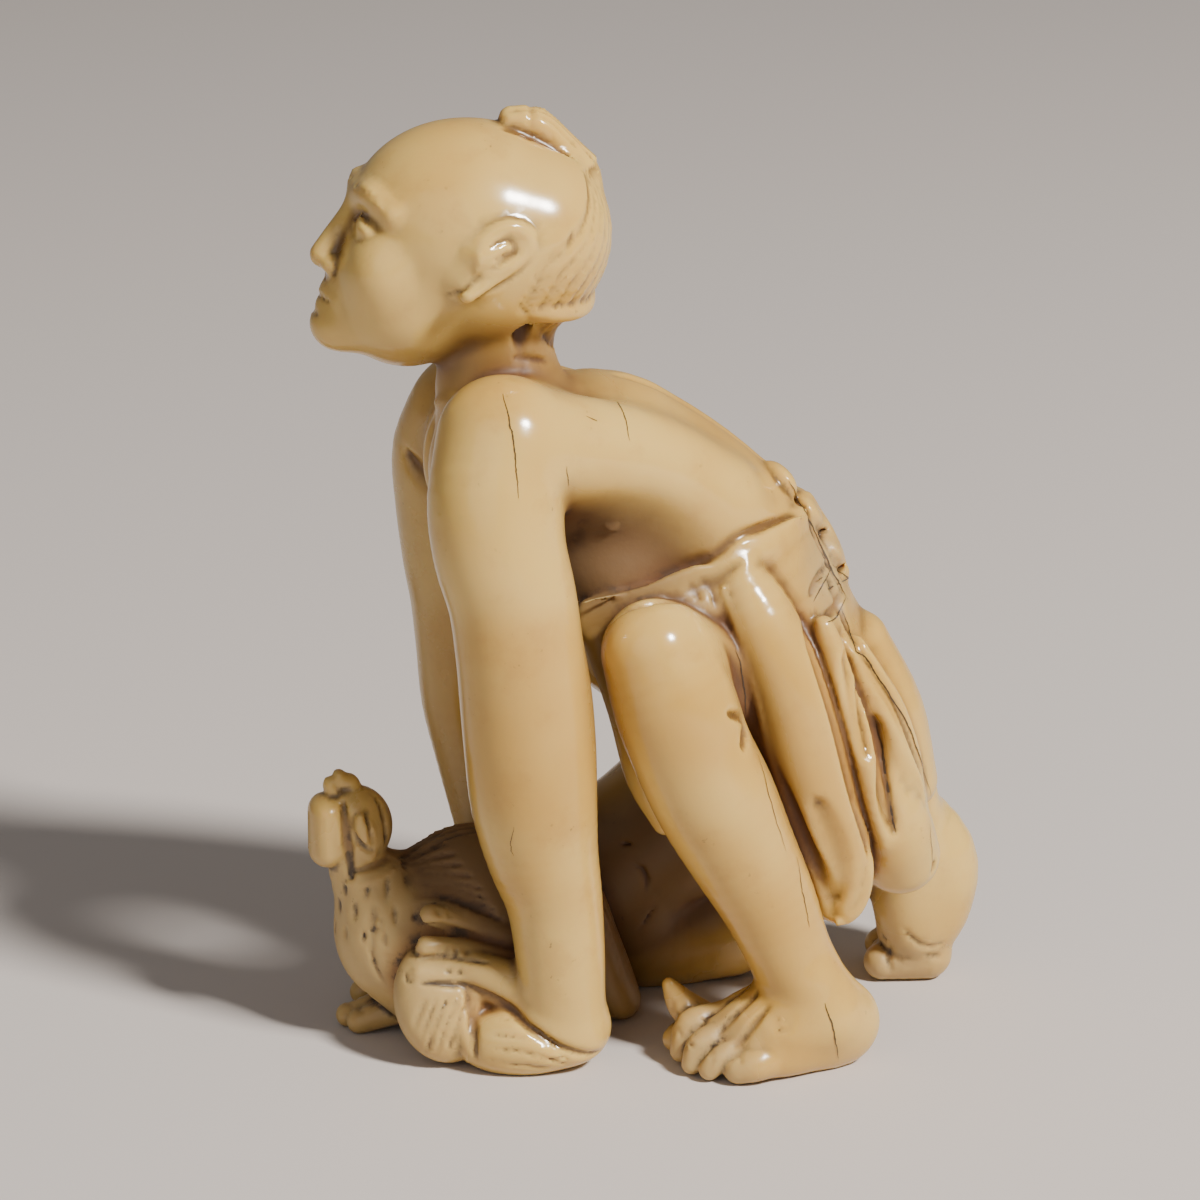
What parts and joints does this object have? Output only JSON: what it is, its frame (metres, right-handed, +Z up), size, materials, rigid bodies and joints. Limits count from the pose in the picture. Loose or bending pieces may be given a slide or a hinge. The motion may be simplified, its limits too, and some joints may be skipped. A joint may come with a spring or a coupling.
{
  "type": "netsuke",
  "caption": "Carved ivory toggle: a crouching man with a shaved head holds a cockerel to the ground between straight arms.",
  "frame": {"origin": "centre of the bounding box in plan, at the ground the carving stands on", "axes": "+Z up, -Y the way the man faces, +X his left side, with the raised knee"},
  "size_m": [0.0206, 0.0326, 0.0437],
  "materials": {
    "ivory": null
  },
  "bodies": {
    "root": {"netsuke_carving": "ivory"}
  },
  "joints": []
}
